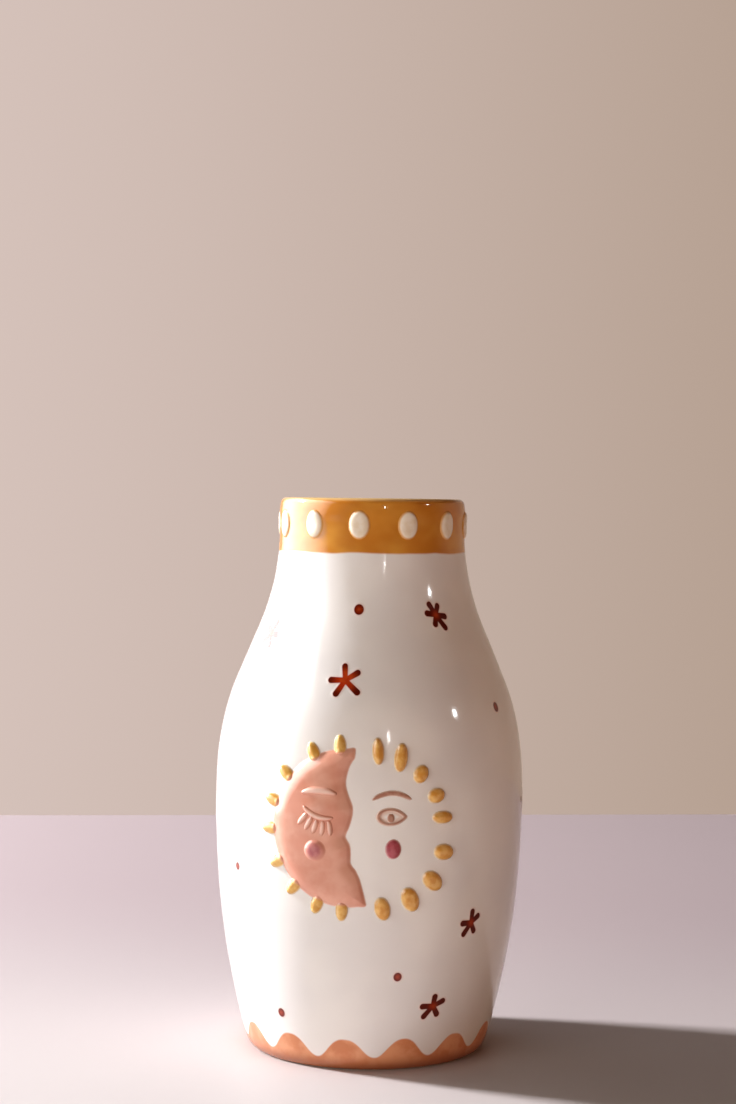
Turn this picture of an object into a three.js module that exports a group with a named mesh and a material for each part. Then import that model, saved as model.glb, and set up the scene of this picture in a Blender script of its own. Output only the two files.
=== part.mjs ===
// A white-glazed pottery vase with a sun-and-moon face in applied relief.
// Millimetres, +Z up. The origin is the middle of the foot, on the surface the vase stands on,
// and the face looks along -Y. Every sprig of relief is a piece of its own, laid on the wall.

import * as THREE from 'three';

// ---- the thrown body: heights are stacked, so a change to one lifts everything above it ----
const FOOT_CONTACT_RADIUS = 33;
const FOOT_WALL_RADIUS = 35.8;
const FOOT_ROUND_RISE = 4;
const FOOT_RING_INNER_RADIUS = 28;
const FOOT_RECESS = 1.5;
const FOOT_RECESS_SLOPE = 0.8;
const FOOT_LEAN = THREE.MathUtils.degToRad(15.2);
const BELLY_RADIUS = 45;
const BELLY_RISE = 70.5;
const SHOULDER_RADIUS = 36.4;
const SHOULDER_RISE = 39.7;
const SHOULDER_LEAN = THREE.MathUtils.degToRad(20.1);
const NECK_RADIUS = 26.9;
const NECK_RISE = 37.8;
const COLLAR_RISE = 8;
const WALL = 4;
const FLOOR = 5;
const FLOOR_FILLET = 8;

// How far each stretch of the wall keeps its direction, as a share of that stretch's own rise.
const FOOT_FULLNESS = 0.26;
const BELLY_FULLNESS_BELOW = 0.48;
const BELLY_FULLNESS_ABOVE = 0.6;
const SHOULDER_FULLNESS_BELOW = 0.17;
const SHOULDER_FULLNESS_ABOVE = 0.19;
const NECK_FULLNESS = 0.53;

// ---- the relief ----
const LUTE_GAP = 0.3;
const RIM_OVALS = 12;
const RIM_OVAL_WIDTH = 6;
const RIM_OVAL_HEIGHT = 8;
const RIM_OVAL_THICKNESS = 1;
const RIM_OVAL_DROP = 7.6;
const RIM_OVAL_FIRST = THREE.MathUtils.degToRad(-2.5);

const FACE_DROP = 5;
const MOON_CENTRE = new THREE.Vector2(-1.9, -0.1);
const MOON_RADIUS = 21.6;
const MOON_THICKNESS = 1.2;
const MOON_EDGE_THICKNESS = 0.5;
const MOON_EDGE_WIDTH = 3;
const MOON_LOW_TIP = THREE.MathUtils.degToRad(-194.8);
const MOON_HIGH_TIP = THREE.MathUtils.degToRad(5.5);
const MOON_TIP_WIDTH = 2;
const MOON_RAY_WIDTH = 3.4;
const MOON_RAY_LENGTH = 3.8;
const RAY_THICKNESS = 1.3;
const LINE_HEIGHT = 0.45;

// A pad's dome from its edge to its crown: how far out, as a share of its width, and how high,
// as a share of its thickness.
const PAD_DOME = [
  { out: 0, up: 0 },
  { out: 0.5, up: 0 },
  { out: 0.5, up: 0.4 },
  { out: 0.4, up: 0.8 },
  { out: 0.2, up: 0.97 },
  { out: 0, up: 1 },
];

const STEPS = {
  around: 48,
  foot: 3,
  belly: 7,
  shoulder: 5,
  neck: 6,
  lip: 6,
  fillet: 4,
  pad: 14,
  stroke: 10,
  lash: 6,
  eye: 10,
};

// A face in profile along the crescent's inner edge, from the low tip to the high tip:
// how far up the edge each point is, and how far it lies to the left of the straight line.
const PROFILE = [
  { name: 'low horn', up: 0, inset: 0 },
  { name: 'horn edge', up: 0.06, inset: 0.4 },
  { name: 'jaw', up: 0.14, inset: 1.1 },
  { name: 'under chin', up: 0.195, inset: 2.0 },
  { name: 'chin', up: 0.24, inset: 3.1 },
  { name: 'lower lip', up: 0.32, inset: 2.9 },
  { name: 'upper lip', up: 0.38, inset: 3.1 },
  { name: 'under nose', up: 0.435, inset: 4.0 },
  { name: 'nose wing', up: 0.5, inset: 2.9 },
  { name: 'nose tip', up: 0.57, inset: 1.9 },
  { name: 'nose bridge', up: 0.64, inset: 1.4 },
  { name: 'eye hollow', up: 0.7, inset: 2.0 },
  { name: 'brow', up: 0.79, inset: 2.9 },
  { name: 'forehead', up: 0.86, inset: 2.6 },
  { name: 'horn root', up: 0.94, inset: 1.5 },
  { name: 'high horn', up: 1, inset: 0 },
];
const MOON_GRID = { across: 8, along: 2 * (PROFILE.length - 1) };

// Clock angles in degrees, 0 at the top. The rays were set by hand, so their spacing wanders,
// and each of the sun's leans a little from pointing straight out.
const MOON_RAY_CLOCKS = [-5.5, -25.5, -51, -73, -93, -116.5, -137.5, -158.5, -177];
const SUN_RAYS = [
  { clock: 17.5, reach: 22.2, width: 3.2, length: 7.3, lean: -21 },
  { clock: 34, reach: 23.5, width: 3.8, length: 7.8, lean: -26 },
  { clock: 51.7, reach: 24.0, width: 4.1, length: 5.2, lean: -20 },
  { clock: 69.3, reach: 25.0, width: 4.0, length: 5.2, lean: 10 },
  { clock: 83.8, reach: 25.5, width: 3.4, length: 6.2, lean: 7 },
  { clock: 104.9, reach: 26.8, width: 4.4, length: 6.1, lean: -7 },
  { clock: 123, reach: 27.1, width: 4.8, length: 6.7, lean: 6 },
  { clock: 140.5, reach: 25.5, width: 4.8, length: 7.1, lean: 14 },
  { clock: 159.3, reach: 23.7, width: 4.3, length: 6.5, lean: 5 },
];

// The moon's closed eye is an arc of lid with lashes fanned about the same centre.
const EYE_INSET = 16.5;
const EYE_CENTRE_HEIGHT = 10.4;
const LID_RADIUS = 7.6;
const LID_WIDTH = 1.1;
const LID_TAPER = 0.5;
const LID_FROM = THREE.MathUtils.degToRad(-53);
const LID_TO = THREE.MathUtils.degToRad(12);
const LASH_ANGLES = [-39.3, -28, -17.2, -5.8, 5.3];
const LASH_WIDTH = 0.9;
const LASH_TAPER = 0.35;
const LASH_REACH = 12.1;
const MOON_BROW_DROP = 0.8;
const MOON_BROW_SHIFT = 2.1;
const MOON_BROW_SPAN = 9;
const MOON_BROW_RISE = 0.8;
const MOON_BROW_WIDTH = 1.5;
const MOON_BROW_TAPER = 0.5;
const MOON_CHEEK_INSET = 13.5;
const MOON_CHEEK_DROP = 6.1;
const MOON_CHEEK_WIDTH = 5.8;
const MOON_CHEEK_THICKNESS = 0.8;

// The sun's open eye, with its brow above and its cheek below.
const SUN_EYE_CENTRE = new THREE.Vector2(10.6, 3.3);
const SUN_EYE_WIDTH = 8.4;
const SUN_EYE_HEIGHT = 4.6;
const SUN_EYE_LINE = 0.75;
// The eye's two curves: how full each is at its round corner, and how high and how far along
// it runs before it draws in to the point. Heights are shares of the eye's, the reach of its width.
const EYE_ROUND_CORNER = 0.55;
const EYE_CREST_HEIGHT = 0.8;
const EYE_CREST_REACH = 0.175;
// The pointed corner needs more line than the round one, so the hole is narrower by this many lines.
const EYE_HOLE_LINES = 3;
const PUPIL_WIDTH = 1.3;
const PUPIL_HEIGHT = 1.7;
const PUPIL_OFFSET = new THREE.Vector2(-0.3, -0.35);
const SUN_BROW_CLEARANCE = 2.5;
const SUN_BROW_SPAN = 10.4;
const SUN_BROW_RISE = 1.7;
const SUN_BROW_WIDTH = 0.9;
const SUN_BROW_TAPER = 0.25;
const SUN_CHEEK_SHIFT = 0.5;
const SUN_CHEEK_DROP = 8.9;
const SUN_CHEEK_WIDTH = 4.3;
const SUN_CHEEK_HEIGHT = 5.3;
const SUN_CHEEK_THICKNESS = 1;

// ---- finishes ----
const glaze = (color) => new THREE.MeshStandardMaterial({ color, roughness: 0.15, metalness: 0 });
const WHITE_GLAZE = glaze(0xe8e4e0);
const OCHRE_GLAZE = glaze(0xc4874c);
const PINK_GLAZE = glaze(0xc78974);
const MAGENTA_GLAZE = glaze(0x8e3d41);
const LINE_GLAZE = glaze(0xa5705e);

// ---- heights that follow from the stacked rises ----
const BELLY_Z = FOOT_ROUND_RISE + BELLY_RISE;
const SHOULDER_Z = BELLY_Z + SHOULDER_RISE;
const NECK_Z = SHOULDER_Z + NECK_RISE;
const RIM_Z = NECK_Z + COLLAR_RISE;
const FACE_Z = BELLY_Z - FACE_DROP;

/** A point a given distance from another, in a direction that leans from straight up. */
function leaning(from, distance, lean) {
  return new THREE.Vector2(from.x + distance * Math.sin(lean), from.y + distance * Math.cos(lean));
}

/** The three stretches of the outer wall: foot to belly, belly to shoulder, shoulder to neck. */
function wallStretches() {
  const foot = new THREE.Vector2(FOOT_WALL_RADIUS, FOOT_ROUND_RISE);
  const belly = new THREE.Vector2(BELLY_RADIUS, BELLY_Z);
  const shoulder = new THREE.Vector2(SHOULDER_RADIUS, SHOULDER_Z);
  const neck = new THREE.Vector2(NECK_RADIUS, NECK_Z);
  const lower = new THREE.CubicBezierCurve(
    foot,
    leaning(foot, FOOT_FULLNESS * BELLY_RISE, FOOT_LEAN),
    leaning(belly, -BELLY_FULLNESS_BELOW * BELLY_RISE, 0),
    belly,
  );
  const upper = new THREE.CubicBezierCurve(
    belly,
    leaning(belly, BELLY_FULLNESS_ABOVE * SHOULDER_RISE, 0),
    leaning(shoulder, -SHOULDER_FULLNESS_BELOW * SHOULDER_RISE, -SHOULDER_LEAN),
    shoulder,
  );
  const throat = new THREE.CubicBezierCurve(
    shoulder,
    leaning(shoulder, SHOULDER_FULLNESS_ABOVE * NECK_RISE, -SHOULDER_LEAN),
    leaning(neck, -NECK_FULLNESS * NECK_RISE, 0),
    neck,
  );
  return [
    { curve: lower, steps: STEPS.belly },
    { curve: upper, steps: STEPS.shoulder },
    { curve: throat, steps: STEPS.neck },
  ];
}

/** Points up the outer wall, or up the inner one when an inset is given. */
function wallPoints(inset) {
  const points = [];
  for (const { curve, steps } of wallStretches()) {
    for (let i = points.length ? 1 : 0; i <= steps; i += 1) {
      const tangent = curve.getTangent(i / steps);
      const point = curve.getPoint(i / steps);
      points.push(new THREE.Vector2(point.x - inset * tangent.y, point.y + inset * tangent.x));
    }
  }
  points.push(new THREE.Vector2(NECK_RADIUS - inset, RIM_Z - WALL / 2));
  return points;
}

const OUTER_WALL = wallPoints(0);

/** The outer wall's radius at a height, along the same facets as the body. */
function wallRadius(z) {
  const above = OUTER_WALL.findIndex((point) => point.y > z);
  const high = OUTER_WALL[above];
  const low = OUTER_WALL[above - 1];
  return THREE.MathUtils.mapLinear(z, low.y, high.y, low.x, high.x);
}

/** The body's closed profile, turned round the axis: foot ring, wall, rounded lip, inside, floor. */
function bodyGeometry() {
  const footRound = new THREE.QuadraticBezierCurve(
    new THREE.Vector2(FOOT_CONTACT_RADIUS, 0),
    new THREE.Vector2(FOOT_WALL_RADIUS - FOOT_ROUND_RISE * Math.tan(FOOT_LEAN), 0),
    OUTER_WALL[0],
  );
  const lip = [];
  for (let i = 1; i < STEPS.lip; i += 1) {
    const angle = (Math.PI * i) / STEPS.lip;
    const radius = NECK_RADIUS - WALL / 2 + (WALL / 2) * Math.cos(angle);
    lip.push(new THREE.Vector2(radius, RIM_Z - WALL / 2 + (WALL / 2) * Math.sin(angle)));
  }
  const floorTop = FOOT_RECESS + FLOOR;
  const filletTopZ = floorTop + FLOOR_FILLET;
  const inside = wallPoints(WALL).filter((point) => point.y > filletTopZ);
  const filletTop = new THREE.Vector2(wallRadius(filletTopZ) - WALL, filletTopZ);
  const fillet = new THREE.QuadraticBezierCurve(
    filletTop,
    new THREE.Vector2(wallRadius(floorTop) - WALL, floorTop),
    new THREE.Vector2(wallRadius(floorTop) - WALL - FLOOR_FILLET, floorTop),
  );
  const profile = [
    new THREE.Vector2(0, FOOT_RECESS),
    new THREE.Vector2(FOOT_RING_INNER_RADIUS - FOOT_RECESS_SLOPE, FOOT_RECESS),
    new THREE.Vector2(FOOT_RING_INNER_RADIUS, 0),
    ...footRound.getPoints(STEPS.foot).slice(0, -1),
    ...OUTER_WALL,
    ...lip,
    ...inside.reverse(),
    ...fillet.getPoints(STEPS.fillet),
    new THREE.Vector2(0, floorTop),
  ];
  return new THREE.LatheGeometry(profile, STEPS.around).rotateX(Math.PI / 2);
}

/** A low domed pad, wide in x and long in y, standing on z = 0. */
function padGeometry(width, length, thickness) {
  const dome = PAD_DOME.map(({ out, up }) => new THREE.Vector2(out, up));
  const pad = new THREE.LatheGeometry(dome, STEPS.pad).rotateX(Math.PI / 2);
  return pad.scale(width, length, thickness);
}

/** A flat-topped stroke along a curve; the lower its taper, the blunter its ends. */
function strokeGeometry(curve, width, height, { taper, steps }) {
  const left = [];
  const right = [];
  for (let i = 1; i < steps; i += 1) {
    const tangent = curve.getTangent(i / steps);
    const point = curve.getPoint(i / steps);
    const half = (width / 2) * Math.sin((Math.PI * i) / steps) ** taper;
    left.push(new THREE.Vector2(point.x - half * tangent.y, point.y + half * tangent.x));
    right.push(new THREE.Vector2(point.x + half * tangent.y, point.y - half * tangent.x));
  }
  const outline = [curve.getPoint(0), ...right, curve.getPoint(1), ...left.reverse()];
  return new THREE.ExtrudeGeometry(new THREE.Shape(outline), { depth: height, bevelEnabled: false });
}

/** An arched brow stroke, its ends on the line y = 0. */
function browGeometry(span, rise, width, taper) {
  const arch = new THREE.QuadraticBezierCurve(
    new THREE.Vector2(-span / 2, 0),
    new THREE.Vector2(0, 2 * rise),
    new THREE.Vector2(span / 2, 0),
  );
  return strokeGeometry(arch, width, LINE_HEIGHT, { taper, steps: STEPS.stroke });
}

/** An eye's outline, round at the inner corner and drawn to a point at the outer one. */
function eyeOutline(path, width, height) {
  const half = width / 2;
  const corner = EYE_ROUND_CORNER * height;
  const crest = EYE_CREST_HEIGHT * height;
  const reach = EYE_CREST_REACH * width;
  path.moveTo(-half, 0);
  path.bezierCurveTo(-half, corner, reach, crest, half, 0);
  path.bezierCurveTo(reach, -crest, -half, -corner, -half, 0);
  return path;
}

/** The open eye as a ring of line; its hole is a smaller outline, its height negative to wind it back. */
function eyeRingGeometry(width, height, line) {
  const ring = eyeOutline(new THREE.Shape(), width, height);
  const hole = eyeOutline(new THREE.Path(), width - EYE_HOLE_LINES * line, 2 * line - height);
  ring.holes.push(hole);
  const settings = { depth: LINE_HEIGHT, bevelEnabled: false, curveSegments: STEPS.eye };
  return new THREE.ExtrudeGeometry(ring, settings);
}

/** A point on a circle about a centre, by clock angle. */
function clockPoint(centre, radius, clock) {
  return new THREE.Vector2(centre.x + radius * Math.sin(clock), centre.y + radius * Math.cos(clock));
}

/** The crescent: a slab whose outer edge is an arc and whose inner edge is a face in profile. */
function crescentGeometry() {
  const lowTip = clockPoint(MOON_CENTRE, MOON_RADIUS - MOON_TIP_WIDTH, MOON_LOW_TIP);
  const highTip = clockPoint(MOON_CENTRE, MOON_RADIUS - MOON_TIP_WIDTH, MOON_HIGH_TIP);
  const edge = new THREE.SplineCurve(
    PROFILE.map(({ up, inset }) => {
      const point = new THREE.Vector2().lerpVectors(lowTip, highTip, up);
      return point.setX(point.x - inset);
    }),
  );
  const slab = new THREE.BoxGeometry(1, 1, 1, MOON_GRID.across, MOON_GRID.along, 1);
  const position = slab.getAttribute('position');
  for (let i = 0; i < position.count; i += 1) {
    const across = (1 - Math.cos(Math.PI * (position.getX(i) + 0.5))) / 2;
    const along = position.getY(i) + 0.5;
    const clock = THREE.MathUtils.lerp(MOON_LOW_TIP, MOON_HIGH_TIP, along);
    const outer = clockPoint(MOON_CENTRE, MOON_RADIUS, clock);
    const inner = edge.getPoint(along);
    const fromEdge = outer.distanceTo(inner) * Math.min(across, 1 - across);
    const swell = Math.sin((Math.PI / 2) * Math.min(1, fromEdge / MOON_EDGE_WIDTH));
    const top = THREE.MathUtils.lerp(MOON_EDGE_THICKNESS, MOON_THICKNESS, swell);
    const point = outer.lerp(inner, across);
    position.setXYZ(i, point.x, point.y, position.getZ(i) > 0 ? top : 0);
  }
  return slab;
}

/** Wraps a flat sprig round the wall: x becomes an arc of the belly, y a height, z a thickness. */
function layOnWall(geometry, centre, height, lift) {
  const position = geometry.getAttribute('position');
  const arcRadius = wallRadius(height);
  for (let i = 0; i < position.count; i += 1) {
    const angle = (centre.x + position.getX(i)) / arcRadius;
    const z = height + centre.y + position.getY(i);
    const radius = wallRadius(z) + lift + position.getZ(i);
    position.setXYZ(i, radius * Math.sin(angle), -radius * Math.cos(angle), z);
  }
  geometry.computeVertexNormals();
  return geometry;
}

/** A sprig as a named mesh on the wall, centred on a point of the face. */
function faceSprig(name, geometry, centre, material, lift = LUTE_GAP) {
  const mesh = new THREE.Mesh(layOnWall(geometry, centre, FACE_Z, lift), material);
  mesh.name = name;
  return mesh;
}

/** The twelve white ovals round the collar, one shape turned to each place. */
function rimOvals() {
  const collar = new THREE.Group();
  const height = RIM_Z - RIM_OVAL_DROP;
  for (let i = 0; i < RIM_OVALS; i += 1) {
    const pad = padGeometry(RIM_OVAL_WIDTH, RIM_OVAL_HEIGHT, RIM_OVAL_THICKNESS);
    const oval = new THREE.Mesh(layOnWall(pad, new THREE.Vector2(), height, LUTE_GAP), WHITE_GLAZE);
    oval.name = `rim_oval_${String(i + 1).padStart(2, '0')}`;
    oval.rotation.z = RIM_OVAL_FIRST + (2 * Math.PI * i) / RIM_OVALS;
    collar.add(oval);
  }
  return collar;
}

/** A domed ray whose long axis points in a clock direction. */
function ray(name, centre, direction, width, length) {
  const pad = padGeometry(width, length, RAY_THICKNESS).rotateZ(-direction);
  return faceSprig(name, pad, centre, OCHRE_GLAZE);
}

/** The moon half: crescent, its rays just clear of the edge, and the sleeping eye on top of it. */
function moon() {
  const half = new THREE.Group();
  half.add(faceSprig('moon_crescent', crescentGeometry(), new THREE.Vector2(), PINK_GLAZE));
  MOON_RAY_CLOCKS.forEach((degrees, i) => {
    const clock = THREE.MathUtils.degToRad(degrees);
    const reach = MOON_RADIUS + LUTE_GAP + MOON_RAY_LENGTH / 2;
    const centre = clockPoint(MOON_CENTRE, reach, clock);
    half.add(ray(`moon_ray_${i + 1}`, centre, clock, MOON_RAY_WIDTH, MOON_RAY_LENGTH));
  });
  const onCrescent = LUTE_GAP + MOON_THICKNESS + LUTE_GAP;
  const leftEdge = MOON_CENTRE.x - MOON_RADIUS;
  const eyeCentre = new THREE.Vector2(leftEdge + EYE_INSET, EYE_CENTRE_HEIGHT);
  const lidTurn = -Math.PI / 2;
  const lidArc = new THREE.ArcCurve(0, 0, LID_RADIUS, lidTurn + LID_FROM, lidTurn + LID_TO, false);
  const lidShape = { taper: LID_TAPER, steps: STEPS.stroke };
  const lid = strokeGeometry(lidArc, LID_WIDTH, LINE_HEIGHT, lidShape);
  half.add(faceSprig('moon_eyelid', lid, eyeCentre, PINK_GLAZE, onCrescent));
  LASH_ANGLES.forEach((degrees, i) => {
    const root = LID_RADIUS + LID_WIDTH / 2 + LUTE_GAP;
    const lashLine = new THREE.LineCurve(new THREE.Vector2(0, -root), new THREE.Vector2(0, -LASH_REACH));
    const shape = { taper: LASH_TAPER, steps: STEPS.lash };
    const lash = strokeGeometry(lashLine, LASH_WIDTH, LINE_HEIGHT, shape);
    lash.rotateZ(THREE.MathUtils.degToRad(degrees));
    half.add(faceSprig(`moon_lash_${i + 1}`, lash, eyeCentre, PINK_GLAZE, onCrescent));
  });
  const browCentre = new THREE.Vector2(eyeCentre.x - MOON_BROW_SHIFT, eyeCentre.y - MOON_BROW_DROP);
  const brow = browGeometry(MOON_BROW_SPAN, MOON_BROW_RISE, MOON_BROW_WIDTH, MOON_BROW_TAPER);
  half.add(faceSprig('moon_brow', brow, browCentre, PINK_GLAZE, onCrescent));
  const cheekCentre = new THREE.Vector2(leftEdge + MOON_CHEEK_INSET, -MOON_CHEEK_DROP);
  const cheek = padGeometry(MOON_CHEEK_WIDTH, MOON_CHEEK_WIDTH, MOON_CHEEK_THICKNESS);
  half.add(faceSprig('moon_cheek', cheek, cheekCentre, MAGENTA_GLAZE, onCrescent));
  return half;
}

/** The sun half: its rays, brow, open eye and cheek, laid straight on the white wall. */
function sun() {
  const half = new THREE.Group();
  SUN_RAYS.forEach(({ clock, reach, width, length, lean }, i) => {
    const centre = clockPoint(new THREE.Vector2(), reach, THREE.MathUtils.degToRad(clock));
    const direction = THREE.MathUtils.degToRad(clock + lean);
    half.add(ray(`sun_ray_${i + 1}`, centre, direction, width, length));
  });
  const browHeight = SUN_EYE_CENTRE.y + SUN_EYE_HEIGHT / 2 + SUN_BROW_CLEARANCE;
  const browCentre = new THREE.Vector2(SUN_EYE_CENTRE.x, browHeight);
  const brow = browGeometry(SUN_BROW_SPAN, SUN_BROW_RISE, SUN_BROW_WIDTH, SUN_BROW_TAPER);
  half.add(faceSprig('sun_brow', brow, browCentre, LINE_GLAZE));
  const eye = eyeRingGeometry(SUN_EYE_WIDTH, SUN_EYE_HEIGHT, SUN_EYE_LINE);
  half.add(faceSprig('sun_eye', eye, SUN_EYE_CENTRE, LINE_GLAZE));
  const pupil = padGeometry(PUPIL_WIDTH, PUPIL_HEIGHT, LINE_HEIGHT);
  const pupilCentre = SUN_EYE_CENTRE.clone().add(PUPIL_OFFSET);
  half.add(faceSprig('sun_pupil', pupil, pupilCentre, LINE_GLAZE));
  const cheekCentre = new THREE.Vector2(
    SUN_EYE_CENTRE.x + SUN_CHEEK_SHIFT,
    SUN_EYE_CENTRE.y - SUN_CHEEK_DROP,
  );
  const cheek = padGeometry(SUN_CHEEK_WIDTH, SUN_CHEEK_HEIGHT, SUN_CHEEK_THICKNESS);
  half.add(faceSprig('sun_cheek', cheek, cheekCentre, MAGENTA_GLAZE));
  return half;
}

const body = new THREE.Mesh(bodyGeometry(), WHITE_GLAZE);
body.name = 'vase_body';

const vase = new THREE.Group();
vase.add(body, rimOvals(), moon(), sun());

export default vase;
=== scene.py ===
"""The looks of a small glazed pottery vase with a sun-and-moon face in relief.

The classes work in millimetres and turn to metres as a mesh is laid down. The frame gives
every place and size: the body's turned section, and the outline of each sprig of relief.
Angles run round the pot from its front, -Y, towards +X.
"""

import logging
import math
from collections.abc import Callable
from dataclasses import dataclass
from enum import Enum

import bmesh
import bpy
import numpy as np
from mathutils import Matrix, Vector


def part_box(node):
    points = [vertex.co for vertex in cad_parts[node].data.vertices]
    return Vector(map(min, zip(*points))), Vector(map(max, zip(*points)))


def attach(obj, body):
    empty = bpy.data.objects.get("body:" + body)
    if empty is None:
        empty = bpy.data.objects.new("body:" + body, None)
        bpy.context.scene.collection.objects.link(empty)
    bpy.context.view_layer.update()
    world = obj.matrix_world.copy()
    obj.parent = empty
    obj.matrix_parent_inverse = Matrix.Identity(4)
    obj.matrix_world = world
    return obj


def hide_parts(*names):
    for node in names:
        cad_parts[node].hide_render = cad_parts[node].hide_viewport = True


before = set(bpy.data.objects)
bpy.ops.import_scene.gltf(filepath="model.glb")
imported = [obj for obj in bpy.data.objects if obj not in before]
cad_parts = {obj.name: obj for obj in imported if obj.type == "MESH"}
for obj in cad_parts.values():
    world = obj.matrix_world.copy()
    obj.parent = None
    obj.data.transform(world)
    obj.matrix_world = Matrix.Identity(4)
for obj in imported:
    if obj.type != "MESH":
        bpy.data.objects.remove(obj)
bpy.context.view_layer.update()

MM = 0.001
BODY = "vase_body"
DEPTH = "depth_mm"
LAP = "lap_mm"
RIDGE = "ridge"
POOL = "pool"
# A face smaller than this, in square metres, has no normal worth reading.
SLIVER = 5e-9
# How squarely a face has to look back at the axis to belong to a sprig's underside.
INWARD = -0.5
# The usual cell of a modelled skin, in millimetres.
GRID = 0.25
# How far the face's origin lies below the sun's eye, in millimetres.
EYE_ABOVE_FACE = 3.4

Array = np.ndarray
Field = Callable[[Array], Array]
Material = bpy.types.Material
Piece = bpy.types.Object
Socket = bpy.types.NodeSocket
# A modelled skin: the piece, and its vertices' flat places.
Skin = tuple[Piece, Array]

log = logging.getLogger("vase")


# ---- curves and distances


def smooth_run(knots: Array, spacing: float, least: int = 1) -> Array:
    """Runs a smooth curve through points.

    Args:
        knots: the points it passes through, one a row.
        spacing: the distance between the new points, in the points' own unit.
        least: the fewest pieces that a stretch between two knots is cut into.

    Returns:
        The new points, the first and last knots among them.
    """
    step = np.linalg.norm(np.diff(knots, axis=0), axis=1)
    slope = np.diff(knots, axis=0) / step[:, None]
    share = (step[:-1] / (step[:-1] + step[1:]))[:, None]
    tangent = np.vstack([slope[:1], slope[:-1] * (1 - share) + slope[1:] * share, slope[-1:]])
    points = [knots[:1]]
    for i, length in enumerate(step):
        count = max(least, round(length / spacing))
        t = (np.arange(1, count + 1) / count)[:, None]
        points.append(
            (2 * t**3 - 3 * t**2 + 1) * knots[i]
            + (t**3 - 2 * t**2 + t) * length * tangent[i]
            + (3 * t**2 - 2 * t**3) * knots[i + 1]
            + (t**3 - t**2) * length * tangent[i + 1]
        )
    return np.vstack(points)


def smooth_loop(corners: Array, spacing: float) -> Array:
    """Rounds a closed loop of corners into a smooth one that ends where it starts."""
    least = 3
    wrapped = np.vstack([corners[-2:], corners, corners[:2]])
    run = smooth_run(wrapped, spacing, least)
    step = np.linalg.norm(np.diff(wrapped, axis=0), axis=1)
    counts = [max(least, round(length / spacing)) for length in step]
    return run[sum(counts[:2]) : sum(counts[:-1]) + 1]


def to_segments(points: Array, starts: Array, ends: Array) -> Array:
    """Measures from each point to each segment.

    Args:
        points: the points, one a row.
        starts: where each segment starts.
        ends: where each segment ends.

    Returns:
        The distances, a row for each point and a column for each segment.
    """
    along = ends - starts
    square = np.maximum((along**2).sum(axis=1), 1e-12)
    offset = points[:, None, :] - starts[None, :, :]
    share = np.clip((offset * along).sum(axis=2) / square, 0, 1)
    return np.linalg.norm(offset - share[:, :, None] * along, axis=2)


def depth_inside(points: Array, loops: list[Array]) -> Array:
    """Says how far inside an outline each point lies; outside it the distance is negative.

    Args:
        points: the points, one a row.
        loops: closed loops whose last point is their first; a loop inside another is a hole.

    Returns:
        One distance for each point.
    """
    nearest = np.full(len(points), np.inf)
    inside = np.zeros(len(points), bool)
    for loop in loops:
        start, end = loop[:-1], loop[1:]
        nearest = np.minimum(nearest, to_segments(points, start, end).min(axis=1))
        rising = (start[:, 1] > points[:, 1:2]) != (end[:, 1] > points[:, 1:2])
        fall = np.where(np.abs(end[:, 1] - start[:, 1]) < 1e-12, 1e-12, end[:, 1] - start[:, 1])
        crossing = start[:, 0] + (points[:, 1:2] - start[:, 1]) * (end[:, 0] - start[:, 0]) / fall
        inside ^= ((rising & (points[:, :1] < crossing)).sum(axis=1) % 2).astype(bool)
    return np.where(inside, nearest, -nearest)


def ease(share: Array) -> Array:
    """A share from 0 to 1, eased at both ends."""
    return share * share * (3 - 2 * share)


# ---- reading the frame


def section_of(node: str) -> Array:
    """Reads a turned solid's half section off its mesh.

    Args:
        node: the CAD node.

    Returns:
        (radius, height) points in millimetres, from the pole of its underside to the other pole.
    """
    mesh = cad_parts[node].data
    key = {}
    for vertex in mesh.vertices:
        x, y, z = vertex.co
        if abs(y) < 1e-6 and x > -1e-6:
            key[vertex.index] = (round(x / MM, 3), round(z / MM, 3))
    links: dict[tuple[float, float], set[tuple[float, float]]] = {}
    for edge in mesh.edges:
        a, b = (key.get(i) for i in edge.vertices)
        if a is not None and b is not None and a != b:
            links.setdefault(a, set()).add(b)
            links.setdefault(b, set()).add(a)
    start = min((point for point in links if len(links[point]) == 1), key=lambda point: point[1])
    chain = [start]
    ahead = links[start]
    while ahead:
        chain.append(ahead.pop())
        ahead = links[chain[-1]] - set(chain)
    return np.array(chain)


def outline_of(node: str) -> list[Array]:
    """Finds the edge of a sprig's underside.

    Args:
        node: the CAD node of the sprig.

    Returns:
        Closed loops of (angle, height) corners, in radians and millimetres.
    """
    sprig = bmesh.new()
    sprig.from_mesh(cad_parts[node].data)
    bmesh.ops.remove_doubles(sprig, verts=sprig.verts, dist=1e-6)
    sprig.normal_update()
    low = set()
    for face in sprig.faces:
        outward = face.calc_center_median()
        outward.z = 0
        if face.calc_area() > SLIVER and face.normal.dot(outward.normalized()) < INWARD:
            low.update(face.verts)
    under = {face for face in sprig.faces if low.issuperset(face.verts)}
    beside: dict[bmesh.types.BMVert, list[bmesh.types.BMVert]] = {}
    for edge in sprig.edges:
        if sum(face in under for face in edge.link_faces) == 1:
            a, b = edge.verts
            beside.setdefault(a, []).append(b)
            beside.setdefault(b, []).append(a)
    loops = []
    left = dict.fromkeys(beside)
    while left:
        loop = [left.popitem()[0]]
        ahead = [vertex for vertex in beside[loop[-1]] if vertex in left]
        while ahead:
            loop.append(ahead[0])
            del left[ahead[0]]
            ahead = [vertex for vertex in beside[loop[-1]] if vertex in left]
        loops.append(np.array([(math.atan2(v.co.x, -v.co.y), v.co.z / MM) for v in loop]))
    sprig.free()
    return loops


# ---- mesh work


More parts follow.
